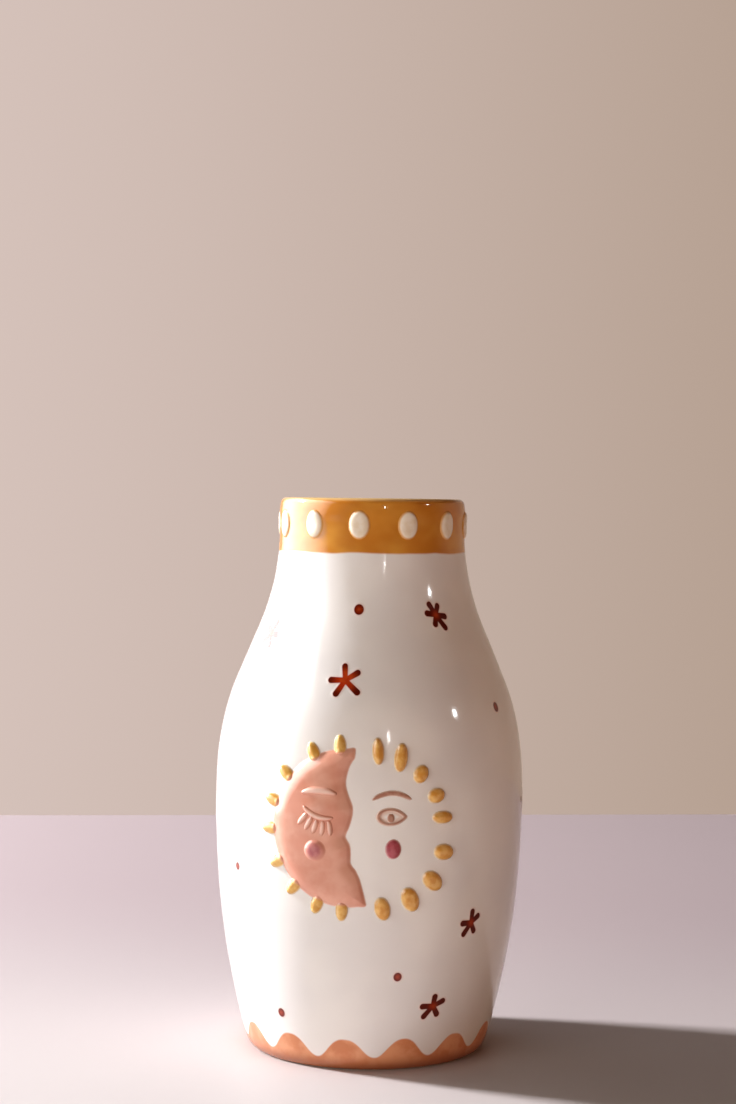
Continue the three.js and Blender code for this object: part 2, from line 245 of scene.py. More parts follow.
def deselect() -> None:
    """Leaves nothing selected, so that an operator acts only on what comes next."""
    if bpy.context.object and bpy.context.object.mode != "OBJECT":
        bpy.ops.object.mode_set(mode="OBJECT")
    bpy.ops.object.select_all(action="DESELECT")


def pick(piece: Piece) -> None:
    """Makes one piece the only one selected, and the active one."""
    deselect()
    piece.select_set(True)
    bpy.context.view_layer.objects.active = piece


def apply(piece: Piece, modifier: bpy.types.Modifier) -> None:
    """Works a modifier into a piece's mesh."""
    pick(piece)
    bpy.ops.object.modifier_apply(modifier=modifier.name)


def cut_away(piece: Piece, what: str, taking: str, doomed: Array) -> None:
    """Deletes some of the active piece's vertices or edges.

    Args:
        piece: the piece.
        what: VERT or EDGE.
        taking: what goes with them, as the delete operator calls it.
        doomed: whether each vertex or edge goes.
    """
    bpy.ops.object.mode_set(mode="EDIT")
    bpy.ops.mesh.select_mode(type=what)
    bpy.ops.mesh.select_all(action="DESELECT")
    bpy.ops.object.mode_set(mode="OBJECT")
    parts = piece.data.vertices if what == "VERT" else piece.data.edges
    parts.foreach_set("select", doomed)
    bpy.ops.object.mode_set(mode="EDIT")
    bpy.ops.mesh.delete(type=taking)
    bpy.ops.object.mode_set(mode="OBJECT")


def tag(piece: Piece, name: str, values: Array) -> None:
    """Stores one number for each vertex of a piece, for its material to read."""
    layers = piece.data.attributes
    layer = layers.get(name) or layers.new(name, "FLOAT", "POINT")
    layer.data.foreach_set("value", values.astype(np.float32))


def settle(piece: Piece, material: Material, slot: str, *nodes: str) -> None:
    """Dresses a finished piece and ties it to the frame.

    Args:
        piece: the finished mesh.
        material: its finish.
        slot: the record's material slot that the finish belongs to; not used.
        nodes: the CAD nodes that it stands for.
    """
    pick(piece)
    bpy.ops.object.shade_smooth()
    piece.data.materials.append(material)
    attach(piece, "root")
    if nodes:
        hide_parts(*nodes)
    log.info("%s: %d faces", piece.name, len(piece.data.polygons))


@dataclass(frozen=True)
class Spot:
    """A place on the wall that a flat pattern is laid from: an angle and a height."""

    angle: float
    height: float


def middle_of(node: str) -> Spot:
    """The place on the wall behind the middle of a node's box."""
    low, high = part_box(node)
    middle = (low + high) / 2
    return Spot(math.atan2(middle.x, -middle.y), middle.z / MM)


class Wall:
    """The pot's outer wall, a turned surface with the slight waver of a hand-finished pot."""

    spacing = 1.4
    outline_spacing = 0.4
    foot_true = 4.0
    foot_fade = 20.0
    # Each wave's size in millimetres, count round the pot, climb for a radian, and phase.
    waves = ((0.10, 2, 38, 0), (0.06, 3, -21, 1.1), (0.03, 5, 13, 2.3), (0.02, 1, 3.1, 0))

    def __init__(self, node: str) -> None:
        """Reads the section from a CAD node and smooths it."""
        knots = section_of(node)
        contact = int(np.argmax(knots[:, 1] < 1e-6)) + 1
        turned = smooth_run(knots[contact:-1], self.spacing, least=3)
        self.section = np.vstack([knots[:contact], turned, knots[-1:]])
        self.rim = float(self.section[:, 1].max())
        outer = turned[: int(np.argmax(turned[:, 1])) + 1]
        self.heights, self.radii = outer[:, 1], outer[:, 0]

    def radius(self, height: Array | float) -> Array | float:
        """The true radius at a height, before the waver."""
        return np.interp(height, self.heights, self.radii)

    def waver(self, angle: Array, height: Array) -> Array:
        """How far the wall strays from true at a place, in millimetres; the foot stands true."""
        stray = sum(
            size * np.sin(count * angle + height / climb + phase)
            for size, count, climb, phase in self.waves
        )
        return np.clip((height - self.foot_true) / self.foot_fade, 0, 1) * stray

    def lay(self, spot: Spot, flat: Array, lift: Array) -> Array:
        """Lays a flat pattern on the wall.

        Args:
            spot: where the pattern's origin goes.
            flat: (arc, height) of each point from the spot, in millimetres.
            lift: how far each point stands off the wall.

        Returns:
            The points in metres.
        """
        angle = spot.angle + flat[:, 0] / self.radius(spot.height)
        height = spot.height + flat[:, 1]
        radius = self.radius(height) + self.waver(angle, height) + lift
        return MM * np.column_stack([radius * np.sin(angle), -radius * np.cos(angle), height])

    def flatten(self, spot: Spot, loops: list[Array]) -> list[Array]:
        """Turns an outline's loops to smooth flat ones.

        Args:
            spot: the place that they are laid flat about.
            loops: their (angle, height) corners.

        Returns:
            Closed loops in millimetres.
        """
        flat = []
        for angle, height in (loop.T for loop in loops):
            turn = (angle - spot.angle + math.pi) % math.tau - math.pi
            corners = np.column_stack([turn * self.radius(spot.height), height - spot.height])
            flat.append(smooth_loop(corners, self.outline_spacing))
        return flat


@dataclass(frozen=True)
class Swell:
    """How a sprig rises from what it is luted to, by the distance inside its outline.

    Attributes:
        rise: its full height in millimetres.
        edge: how far inside the outline the full height is reached.
        skirt: how far outside the outline its glaze runs out.
        sink: how far the skirt's end lies under its ground.
        grow: how far the edge is moved out from the outline.
        fillet: the share of the rise over which the foot is hollowed.
    """

    rise: float
    edge: float
    skirt: float = 0.35
    sink: float = 0.03
    grow: float = 0.0
    fillet: float = 0.4

    def lift(self, depth: Array) -> Array:
        """A soft foot of glaze outside the outline, a rounded side and a full top inside it."""
        t = np.clip((depth + self.skirt) / (self.edge + self.skirt), 0, 1)
        foot = np.clip(t / self.fillet, 0, 1)
        return (self.rise + self.sink) * t * (2 - t) * ease(foot) - self.sink


def relief(
    name: str,
    wall: Wall,
    spot: Spot,
    extent: list[Array],
    depth: Field,
    lift: Field,
    reach: float,
    spacing: float = GRID,
) -> Skin:
    """Models a skin of clay and glaze on the wall from a grid.

    Args:
        name: the piece's name.
        wall: the wall that it lies on.
        spot: where its flat pattern is laid from.
        extent: places that the pattern reaches, in millimetres.
        depth: gives the distance inside the pattern's outline.
        lift: gives the height off the wall.
        reach: how far outside the outline the skin goes on, to end under its ground.
        spacing: the size of a grid cell.

    Returns:
        The piece, and its vertices' flat places.
    """
    every = np.vstack(extent)
    low, high = every.min(axis=0) - reach, every.max(axis=0) + reach
    across, up = (int(math.ceil(length / spacing)) for length in high - low)
    deselect()
    bpy.ops.mesh.primitive_grid_add(x_subdivisions=across, y_subdivisions=up, size=1)
    piece = bpy.context.object
    piece.name = piece.data.name = name
    grid = np.array([vertex.co[:2] for vertex in piece.data.vertices])
    flat = low + (grid + 0.5) * (high - low)
    beyond = depth(flat) < -reach
    cut_away(piece, "VERT", "VERT", beyond)
    flat = flat[~beyond]
    piece.data.vertices.foreach_set("co", wall.lay(spot, flat, lift(flat)).ravel())
    tag(piece, DEPTH, depth(flat))
    return piece, flat


def thicken(piece: Piece, thickness: float = 0.4) -> None:
    """Gives a skin its thickness into the wall and closes it, in millimetres."""
    modifier = piece.modifiers.new("Clay", "SOLIDIFY")
    modifier.thickness = thickness * MM
    modifier.offset = -1
    apply(piece, modifier)


# ---- finishes


def linear(hex_code: str) -> tuple[float, float, float, float]:
    """Turns an sRGB hex colour to the linear one that a shader takes."""
    parts = [int(hex_code[i : i + 2], 16) / 255 for i in (1, 3, 5)]
    return (*(p / 12.92 if p <= 0.04045 else ((p + 0.055) / 1.055) ** 2.4 for p in parts), 1.0)


class Board:
    """A node tree under work: a material's, or the room's light."""

    def __init__(self, owner: Material | bpy.types.World) -> None:
        """Empties the owner's tree."""
        self.owner = owner
        owner.use_nodes = True
        self.tree = owner.node_tree
        self.tree.nodes.clear()

    @classmethod
    def named(cls, name: str) -> "Board":
        """Starts a material."""
        return cls(bpy.data.materials.new(name))

    def add(
        self,
        kind: str,
        settings: dict[str, object] | None = None,
        links: dict[int | str, object] | None = None,
        out: int = 0,
    ) -> Socket | None:
        """Adds a node with its settings and links.

        Args:
            kind: the node's type, after ShaderNode.
            settings: its properties.
            links: what goes to each input: another node's socket, or a value.
            out: which output is wanted.

        Returns:
            That output, or None for a node that has none.
        """
        node = self.tree.nodes.new("ShaderNode" + kind)
        for key, value in (settings or {}).items():
            setattr(node, key, value)
        for key, value in (links or {}).items():
            if isinstance(value, Socket):
                self.tree.links.new(value, node.inputs[key])
            else:
                node.inputs[key].default_value = value
        return node.outputs[out] if node.outputs else None

    def blend(self, share: object, under: object, over: object) -> Socket:
        """Lays one colour over another by a share from 0 to 1; either may be a hex code."""
        under, over = (linear(c) if isinstance(c, str) else c for c in (under, over))
        return self.add("Mix", {"data_type": "RGBA"}, {0: share, 6: under, 7: over}, 2)

    def ramp(self, value: object, start: object, end: object) -> Socket:
        """A share that goes softly from 0 to 1 as a value goes from start to end."""
        return self.add(
            "MapRange", {"interpolation_type": "SMOOTHSTEP"}, {0: value, 1: start, 2: end}
        )

    def math(self, operation: str, *values: object) -> Socket:
        """One sum, named as the Math node names it."""
        return self.add("Math", {"operation": operation}, dict(enumerate(values)))

    def sum(self, first: object, second: object, times: object = 1.0) -> Socket:
        """first times a number, plus second."""
        return self.math("MULTIPLY_ADD", first, times, second)

    def cloud(self, place: object, size: float, detail: float = 2.0) -> Socket:
        """Soft mottling whose blotches are about so many millimetres across."""
        links = {"Vector": place, "Scale": 1 / size, "Detail": detail}
        return self.add("TexNoise", None, links)

    def axes(self, place: object) -> tuple[Socket, ...]:
        """A place's three coordinates."""
        return tuple(self.add("SeparateXYZ", None, {0: place}).node.outputs)

    def tagged(self, name: str) -> Socket:
        """The number that tag() stored on the piece."""
        return self.add("Attribute", {"attribute_name": name}, None, 2)

    def surface(self, links: dict[int | str, object]) -> Material:
        """Ends a material with its surface, whose inputs are given."""
        shader = self.add("BsdfPrincipled", None, links)
        self.add("OutputMaterial", None, {0: shader})
        return self.owner


class Place:
    """Where a point is on the pot, in millimetres, for a material to read."""

    def __init__(self, board: Board) -> None:
        """Wires it into a material."""
        metres = board.add("TexCoord", None, None, 3)
        self.at = board.add("Mapping", None, {0: metres, 3: (1 / MM, 1 / MM, 1 / MM)})
        self.x, self.y, self.z = board.axes(self.at)
        plan = board.add("CombineXYZ", None, {0: self.x, 1: self.y})
        self.radius = board.add("VectorMath", {"operation": "LENGTH"}, {0: plan}, 1)


@dataclass(frozen=True)
class PotGlaze:
    """The whole pot's glazing, which every sprig's foot matches: white gloss over earthenware,
    an ochre collar over the lip, and a scalloped terracotta band round the foot.
    """

    white: str = "#EEECE9"
    white_cool: str = "#E6E4E3"
    mottle: float = 26
    ochre: str = "#C47B29"
    ochre_thin: str = "#D6973C"
    # Paler ochre at the lip: partly the glaze thinning over the rim, partly a painted highlight
    # along its top.
    ochre_thin_lip_and_highlight: str = "#EBC68A"
    streak: float = 12
    collar: float = 144.3
    collar_waver: float = 11
    collar_stray: float = 0.9
    lip: float = 159.3
    mouth: float = 153.5
    mouth_radius: float = 23.4
    terracotta: str = "#CE8257"
    terracotta_thin: str = "#DD9A70"
    # Painted shade: a darker terracotta for the bottom of the foot, where it curves under.
    terracotta_shaded: str = "#9A5A3A"
    patch: float = 6
    # The height in millimetres from which the painted shade darkens the band down to the foot.
    foot_shade: float = 5.0
    lobes: int = 14
    lobe_first: float = -3.8
    lobe_top: float = 9.4
    lobe_foot: float = 3.9
    lobe_point: float = 1.3
    lobe_waver: float = 9
    lobe_stray: float = 1.1
    floor_radius: float = 33.2
    biscuit: str = "#B99C82"
    bare: float = 0.25

    def wiped(self, board: Board, place: Place) -> Socket:
        """The share of bare clay on the foot, wiped so that it doesn't stick in the kiln."""
        return board.ramp(place.z, self.bare + 0.2, self.bare - 0.1)

    def collared(self, board: Board, place: Place, under: object) -> Socket:
        """Brushes the ochre collar on, over the lip and a little way into the mouth.

        Args:
            board: the material that it is wired into.
            place: the place on the pot.
            under: the colour under it.

        Returns:
            The colour's socket.
        """
        brushed = board.add("Mapping", None, {0: place.at, 3: (1, 1, 1.5)})
        streaks = board.ramp(board.cloud(brushed, self.streak), 0.3, 0.75)
        ochre = board.blend(streaks, self.ochre, self.ochre_thin)
        # The lip is painted paler: partly thin glaze over the rim, partly a painted highlight along
        # its top.
        edge = board.ramp(place.z, self.lip - 0.5, self.lip + 0.7)
        ochre = board.blend(edge, ochre, self.ochre_thin_lip_and_highlight)
        inside = board.ramp(place.radius, self.mouth_radius, self.mouth_radius - 0.3)
        start = board.sum(inside, self.collar, self.mouth - self.collar)
        height = board.sum(board.cloud(place.at, self.collar_waver), place.z, self.collar_stray)
        above = board.sum(start, height, -1)
        return board.blend(board.ramp(above, 0.2, 0.9), under, ochre)

    def banded(self, board: Board, place: Place, under: object) -> Socket:
        """Paints the scalloped terracotta band on, on the outside only.

        Args:
            board: the material that it is wired into.
            place: the place on the pot.
            under: the colour under it.

        Returns:
            The colour's socket.
        """
        angle = board.math("ARCTAN2", place.x, board.math("MULTIPLY", place.y, -1))
        turn = board.sum(angle, -math.radians(self.lobe_first) * self.lobes, self.lobes)
        dip = board.sum(board.math("COSINE", turn), 0.501, -0.5)
        dip = board.math("POWER", dip, self.lobe_point)
        edge = board.sum(dip, self.lobe_top, self.lobe_foot - self.lobe_top)
        edge = board.sum(board.cloud(place.at, self.lobe_waver), edge, self.lobe_stray)
        patches = board.ramp(board.cloud(place.at, self.patch, 3), 0.4, 0.65)
        clay = board.blend(patches, self.terracotta, self.terracotta_thin)
        # Painted shade: the band grows darker towards the bottom edge of the foot.
        foot_shade = board.ramp(place.z, self.foot_shade, 0.4)
        clay = board.blend(foot_shade, clay, self.terracotta_shaded)
        below = board.ramp(board.sum(place.z, edge, -1), 0.2, 0.85)
        outside = board.ramp(place.radius, self.floor_radius, self.floor_radius + 0.4)
        return board.blend(board.math("MULTIPLY", below, outside), under, clay)

    def colour(self, board: Board) -> Socket:
        """Mixes the pot's colours by place.

        Args:
            board: the material that they are wired into.

        Returns:
            The colour's socket.
        """
        place = Place(board)
        mottle = board.ramp(board.cloud(place.at, self.mottle), 0.35, 0.65)
        colour = board.blend(mottle, self.white, self.white_cool)
        colour = self.banded(board, place, self.collared(board, place, colour))
        return board.blend(self.wiped(board, place), colour, self.biscuit)

    def close(self, board: Board, colour: object) -> Material:
        """Finishes a glazed material: clear lead-free gloss that pools and wavers a little.

        Args:
            board: the material.
            colour: the glaze's colour.

        Returns:
            The material.
        """
        place = Place(board)
        gloss = board.sum(board.cloud(place.at, 4), 0.05, 0.09)
        peel = board.sum(board.cloud(place.at, 3), board.cloud(place.at, 9, 1), 0.25)
        ripple = {"Strength": 1.0, "Distance": 0.03 * MM, "Height": peel}
        links = {
            "Base Color": colour,
            "Roughness": board.sum(self.wiped(board, place), gloss, 0.65),
            "IOR": 1.52,
            "Normal": board.add("Bump", None, ripple),
        }
        return board.surface(links)

    def material(self) -> Material:
        """Glazed white earthenware, dipped and then banded on the wheel."""
        board = Board.named("Glazed earthenware, white with ochre collar")
        return self.close(board, self.colour(board))


@dataclass(frozen=True)
class SprigGlaze:
    """A coloured glaze brushed on a sprig: full on its top, thin and pale at its rim, and the
    pot's own colour round its foot.
    """

    name: str
    full: str
    thin: str
    halo: str
    halo_from: float = -0.6
    starts: float = -0.25
    covers: float = 0.25
    patch: float = 2.2
    pot: PotGlaze = PotGlaze()

    def coat(self, board: Board, under: object, halo: float = 0.7) -> Socket:
        """Brushes the glaze over a colour.

        Args:
            board: the material.
            under: the colour that it is brushed over.
            halo: how strongly the thin glaze round the edge tints what is under it.

        Returns:
            The colour's socket.
        """
        bleed = board.ramp(board.tagged(DEPTH), self.halo_from, self.starts)
        under = board.blend(board.math("MULTIPLY", bleed, halo), under, self.halo)
        patches = board.ramp(board.cloud(Place(board).at, self.patch, 3), 0.36, 0.66)
        glaze = board.blend(patches, self.full, self.thin)
        return board.blend(self.cover(board), under, glaze)

    def cover(self, board: Board) -> Socket:
        """How fully the glaze covers, from nothing outside its edge."""
        return board.ramp(board.tagged(DEPTH), self.starts, self.covers)

    def over_pot(self, board: Board, halo: float = 0.7) -> Socket:
        """The glaze over the pot's own colour."""
        return self.coat(board, self.pot.colour(board), halo)

    def material(self) -> Material:
        """The glaze on its own sprig."""
        board = Board.named(self.name)
        return self.pot.close(board, self.over_pot(board))


@dataclass(frozen=True)
class LappedGlaze(SprigGlaze):
    """Ochre on a ray whose root lies under the moon's pink."""

    pink: str = "#DEA28D"
    lap: float = 0.5
    lap_soft: float = 0.55

    def material(self) -> Material:
        """Ochre at the tip, and pink where the moon's glaze laps over the root."""
        board = Board.named(self.name)
        lap = board.ramp(board.tagged(LAP), self.lap - self.lap_soft, self.lap + self.lap_soft)
        share = board.math("MULTIPLY", lap, board.ramp(board.tagged(DEPTH), -0.6, 0.1))
        return self.pot.close(board, board.blend(share, self.over_pot(board), self.pink))


@dataclass(frozen=True)
class MoonGlaze(SprigGlaze):
    """Pink glaze that breaks pale over ridges and pools darker in the hollows; the paler ridge tops
    are also a painted highlight.
    """

    # The paler pink of the ridges: glaze broken thin, and a painted highlight.
    broken_pale_and_highlight: str = "#EFCBBC"

    def material(self) -> Material:
        """The moon's pink, painted paler where the relief lifts it: thin glaze there, and a painted
        highlight.
        """
        board = Board.named(self.name)
        ridge = board.ramp(board.tagged(RIDGE), 0.15, 1.0)
        return self.pot.close(board, board.blend(ridge, self.over_pot(board), self.broken_pale_and_highlight))


@dataclass(frozen=True)
class PaintedGlaze(SprigGlaze):
    """Iron red painted with a loaded brush: darker where the paint pools at a stroke's ends."""

    pooled: str = "#561305"
    stain: float = 0.45

    def material(self) -> Material:
        """The paint, with its pools and the warm stain that it leaves in the white."""
        board = Board.named(self.name)
        paint = self.over_pot(board, self.stain)
        ends = board.ramp(board.tagged(POOL), 0.4, 1.2)
        share = board.math("MULTIPLY", ends, self.cover(board))
        return self.pot.close(board, board.blend(share, paint, self.pooled))


# ---- the pot


@dataclass
class Body:
    """The hollow body, turned from its half section."""

    wall: Wall
    around: int = 192
    true_middle: float = 10.0
    name: str = "pot_body"

    def build(self) -> Piece:
        """Draws the half section as a chain, spins it and works the waver into the wall.

        Returns:
            The closed body.
        """
        section = self.wall.section
        deselect()
        bpy.ops.mesh.primitive_circle_add(vertices=len(section), radius=self.wall.rim * MM)
        body = bpy.context.object
        body.name = body.data.name = self.name
        ends = {0, len(section) - 1}
        closing = np.array([set(edge.vertices) == ends for edge in body.data.edges])
        cut_away(body, "EDGE", "EDGE_FACE", closing)
        for vertex, (radius, height) in zip(body.data.vertices, section):
            vertex.co = (radius * MM, 0, height * MM)
        bpy.ops.object.mode_set(mode="EDIT")
        bpy.ops.mesh.select_all(action="SELECT")
        bpy.ops.mesh.spin(steps=self.around, angle=math.tau, center=(0, 0, 0), axis=(0, 0, 1))
        bpy.ops.mesh.select_all(action="SELECT")
        bpy.ops.mesh.remove_doubles(threshold=1e-6)
        bpy.ops.mesh.normals_make_consistent(inside=False)
        bpy.ops.object.mode_set(mode="OBJECT")
        places = np.array([vertex.co for vertex in body.data.vertices])
        radius = np.hypot(places[:, 0], places[:, 1])
        angle = np.arctan2(places[:, 0], -places[:, 1])
        waver = self.wall.waver(angle, places[:, 2] / MM) * MM
        waver *= np.clip(radius / (self.true_middle * MM), 0, 1)
        places[:, :2] *= ((radius + waver) / np.maximum(radius, 1e-9))[:, None]
        body.data.vertices.foreach_set("co", places.ravel())
        return body

    def dress(self, body: Piece) -> None:
        """Glazes the body and puts it in the frame in place of the plain solid."""
        settle(body, PotGlaze().material(), "white_glaze", BODY)


@dataclass
class Sprig:
    """A sprig of relief luted to the wall, which follows its CAD node's outline about a spot."""

    wall: Wall
    spot: Spot
    node: str
    swell: Swell
    spacing: float = GRID

    def __post_init__(self) -> None:
        """Reads the outline."""
        self.loops = self.wall.flatten(self.spot, outline_of(self.node))

    def depth(self, flat: Array) -> Array:
        """How far inside the sprig's full edge each place lies."""
        return depth_inside(flat, self.loops) + self.swell.grow

    def build(self, ground: Field | None = None) -> Skin:
        """Models the sprig.

        Args:
            ground: the height off the wall of what it lies on, where that isn't the wall.

        Returns:
            The piece, still open at the back, and its vertices' flat places.
        """

        def lift(flat: Array) -> Array:
            """The sprig's rise on its ground."""
            return (ground(flat) if ground else 0) + self.swell.lift(self.depth(flat))

        name, reach = f"sprig_{self.node}", self.swell.skirt
        return relief(
            name, self.wall, self.spot, self.loops, self.depth, lift, reach, self.spacing
        )


@dataclass
class Collar:
    """The ring of white ovals round the collar."""

    wall: Wall
    swell: Swell = Swell(rise=0.75, edge=1.9)
    glaze: SprigGlaze = SprigGlaze(
        # White slip under a clear gloss, brushed round with ochre: soft-edged white windows.
        "Glazed white slip oval",
        full="#EFE5D5",
        thin="#E8DAC2",
        halo="#DDA65A",
        starts=0.0,
        covers=0.7,
    )

    def build(self) -> None:
        """Models each oval where its node is."""
        material = self.glaze.material()
        for node in sorted(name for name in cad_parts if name.startswith("rim_oval")):
            piece, _ = Sprig(self.wall, middle_of(node), node, self.swell).build()
            thicken(piece)
            settle(piece, material, "white_glaze", node)


OCHRE = SprigGlaze(
    # Iron-yellow glaze: deep where it is full, straw where it thins, with a pale rim round it.
    "Ochre glaze",
    full="#D69743",
    thin="#E8B768",
    halo="#F1DCB4",
    halo_from=-0.9,
    starts=-0.2,
    covers=0.35,
)
MAGENTA = SprigGlaze(
    # Rose underglaze stain dabbed on with a sponge, soft at its edge.
    "Rose stained glaze",
    full="#9E3A45",
    thin="#B2565F",
    halo="#E6ACA6",
    halo_from=-0.9,
    starts=-0.3,
    covers=0.45,
)
BLUSH = SprigGlaze(
    # The same rose, sponged thinly over the moon's pink: no edge, only a deepening blush.
    "Rose stain over coral pink",
    full="#AE6064",
    thin="#C27C7B",
    halo="#DA9A84",
    starts=-0.2,
    covers=2.0,
)
LINE = SprigGlaze(
    # A fine trailed line of brown-pink slip, a little raised.
    "Trailed slip line",
    full="#A5715C",
    thin="#B98B76",
    halo="#D5AD97",
    halo_from=-1.7,
    starts=-0.2,
    covers=0.15,
)
PINK = MoonGlaze(
    # Coral-pink glaze over relief: full in the flats, paler on each ridge, partly from the glaze
    # breaking thin and partly as a painted highlight.
    "Coral pink glaze",
    full="#D5937C",
    thin="#E0A791",
    halo="#EBCFC2",
    starts=-0.45,
    covers=0.1,
    patch=7.0,
)
LAPPED = LappedGlaze(
    # The same ochre on the moon's rays, with the moon's pink lapping over their roots.
    "Ochre glaze under pink",
    full="#D39C44",
    thin="#E6BC6C",
    halo="#EFE3C6",
    starts=-0.25,
    covers=0.3,
)
IRON_RED = PaintedGlaze(
    # Iron oxide painted on the white: red-brown strokes sunk level in the gloss.
    "Iron red brushwork",
    full="#A62C0E",
    thin="#B84116",
    halo="#EBC9BC",
    starts=-0.12,
    covers=0.12,
)


# The soft swellings under the moon's features: each one's height, and its reach across and up.
MOUNDS = {
    "moon_eyelid": (0.5, 4.6, 2.8),
    "moon_cheek": (0.35, 3.6, 3.6),
    "moon_brow": (0.3, 5.2, 1.6),
}


@dataclass
class Face:
    """What both halves of the face share: the wall and the face's own origin on it."""

    wall: Wall
    spot: Spot

    def middle(self, node: str) -> Array:
        """A node's middle, flat about the face's origin."""
        place = middle_of(node)
        arc = (place.angle - self.spot.angle) * self.wall.radius(self.spot.height)
        return np.array([arc, place.height - self.spot.height])


@dataclass
class Moon(Face):
    """The moon half: a sleeping face in profile on a crescent, with nine rays."""

    slab: Swell = Swell(rise=1.75, edge=4.6, skirt=0.6, fillet=0.25)
    ray: Swell = Swell(rise=1.2, edge=1.7)
    ray_climb: float = 0.6
    stroke: Swell = Swell(rise=0.55, edge=0.7, grow=0.15)
    cheek: Swell = Swell(rise=0.75, edge=2.2)
    crown: float = 0.3
    crown_reach: float = 5.0
    ball_above_lid: float = 1.6
    mound_reach: float = 3.0
    # How much paler the pink is painted on the mounds and along the strokes: thin glaze, and a
    # painted highlight.
    mound_paleness: float = 0.7
    stroke_paleness: tuple[float, float] = (0.25, 1.1)
    stroke_glaze_depth: float = 2.0
    stroke_spacing: float = 0.18
    root: float = 2.4
    root_melt: float = 2.4

    def __post_init__(self) -> None:
        """Reads the crescent's outline and the places of what lies on it."""
        self.crescent = Sprig(self.wall, self.spot, "moon_crescent", self.slab)
        self.tops = {node: self.middle(node) for node in MOUNDS}
        self.tops["moon_eyelid"][1] += self.ball_above_lid

    def swells(self, flat: Array) -> Array:
        """How high the mounds of the face stand on the crescent."""
        total = np.zeros(len(flat))
        for node, (height, wide, tall) in MOUNDS.items():
            away = ((flat - self.tops[node]) / (wide, tall)) ** 2
            total += height * np.exp(-away.sum(axis=1))
        return total

    def fullness(self, flat: Array) -> Array:
        """How far the mounds and the crown lift the slab, well inside its edge."""
        depth = self.crescent.depth(flat)
        inner = ease(np.clip(depth / self.mound_reach, 0, 1))
        crown = self.crown * (1 - np.exp(-np.clip(depth, 0, None) / self.crown_reach))
        return inner * (crown + self.swells(flat))

    def ground(self, flat: Array) -> Array:
        """The crescent's height off the wall."""
        return self.slab.lift(self.crescent.depth(flat)) + self.fullness(flat)

    def build(self) -> None:
        """Models the crescent, its rays, and the brow, lid, lashes and cheek on it."""
        pink = PINK.material()
        piece, flat = self.crescent.build(self.fullness)
        # The mounds' tops are painted paler: glaze breaking thin, and a painted highlight.
        tag(piece, RIDGE, self.mound_paleness * self.swells(flat))
        thicken(piece)
        settle(piece, pink, "pink_glaze", "moon_crescent")
        for node in sorted(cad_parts):
            if node.startswith("moon_ray"):
                self.build_ray(node)
            elif node.startswith("moon_lash") or node in ("moon_brow", "moon_eyelid"):
                self.build_on_slab(node, self.stroke, pink, "pink_glaze")
            elif node == "moon_cheek":
                self.build_on_slab(node, self.cheek, self.dabbed(), "magenta_glaze")

    def dabbed(self) -> Material:
        """The rose dab of the cheek over the moon's own pink."""
        board = Board.named(BLUSH.name)
        return BLUSH.pot.close(board, BLUSH.coat(board, PINK.full))

    def build_on_slab(self, node: str, swell: Swell, material: Material, slot: str) -> None:
        """Models a sprig that lies on the crescent.

        Args:
            node: its CAD node.
            swell: how it rises from the crescent.
            material: its finish.
            slot: the record's slot for that finish.
        """
        sprig = Sprig(self.wall, self.spot, node, swell, self.stroke_spacing)
        piece, flat = sprig.build(self.ground)
        if slot == "pink_glaze":
            # Each stroke is painted paler towards its middle: glaze breaking thin over the ridge,
            # and a painted highlight along its top.
            start, climb = self.stroke_paleness
            tag(piece, DEPTH, np.full(len(flat), self.stroke_glaze_depth))
            tag(piece, RIDGE, np.clip(start + climb * sprig.depth(flat), 0, 1))
        thicken(piece)
        settle(piece, material, slot, node)

    def build_ray(self, node: str) -> None:
        """Models a ray whose root runs in under the crescent's edge.

        Args:
            node: its CAD node.
        """
        sprig = Sprig(self.wall, self.spot, node, self.ray)
        centre = self.middle(node)
        outward = centre - self.heart()
        outward /= np.linalg.norm(outward)
        for loop in sprig.loops:
            along = (loop - centre) @ outward
            tip, root = along.max(), along.min()
            stretched = tip - (tip - along) * (tip - root + self.root) / (tip - root)
            loop += (stretched - along)[:, None] * outward

        def climb(places: Array) -> Array:
            """The ray's ground: part of the crescent's rise, melting away inside its edge."""
            inner = ease(np.clip(self.crescent.depth(places) / self.root_melt, 0, 1))
            return np.maximum(self.ray_climb * self.ground(places) - self.ray.rise * inner, 0)

        piece, flat = sprig.build(climb)
        tag(piece, LAP, self.crescent.depth(flat))
        thicken(piece)
        settle(piece, self.lapped(), "ochre_glaze", node)

    def heart(self) -> Array:
        """The middle of the ring that the moon's rays stand in."""
        rays = [node for node in sorted(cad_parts) if node.startswith("moon_ray")]
        ring = np.array([self.middle(node) for node in rays])
        rows = np.column_stack([2 * ring, np.ones(len(ring))])
        return np.linalg.lstsq(rows, (ring**2).sum(axis=1), rcond=None)[0][:2]

    def lapped(self) -> Material:
        """The rays' glaze, made once."""
        return bpy.data.materials.get(LAPPED.name) or LAPPED.material()


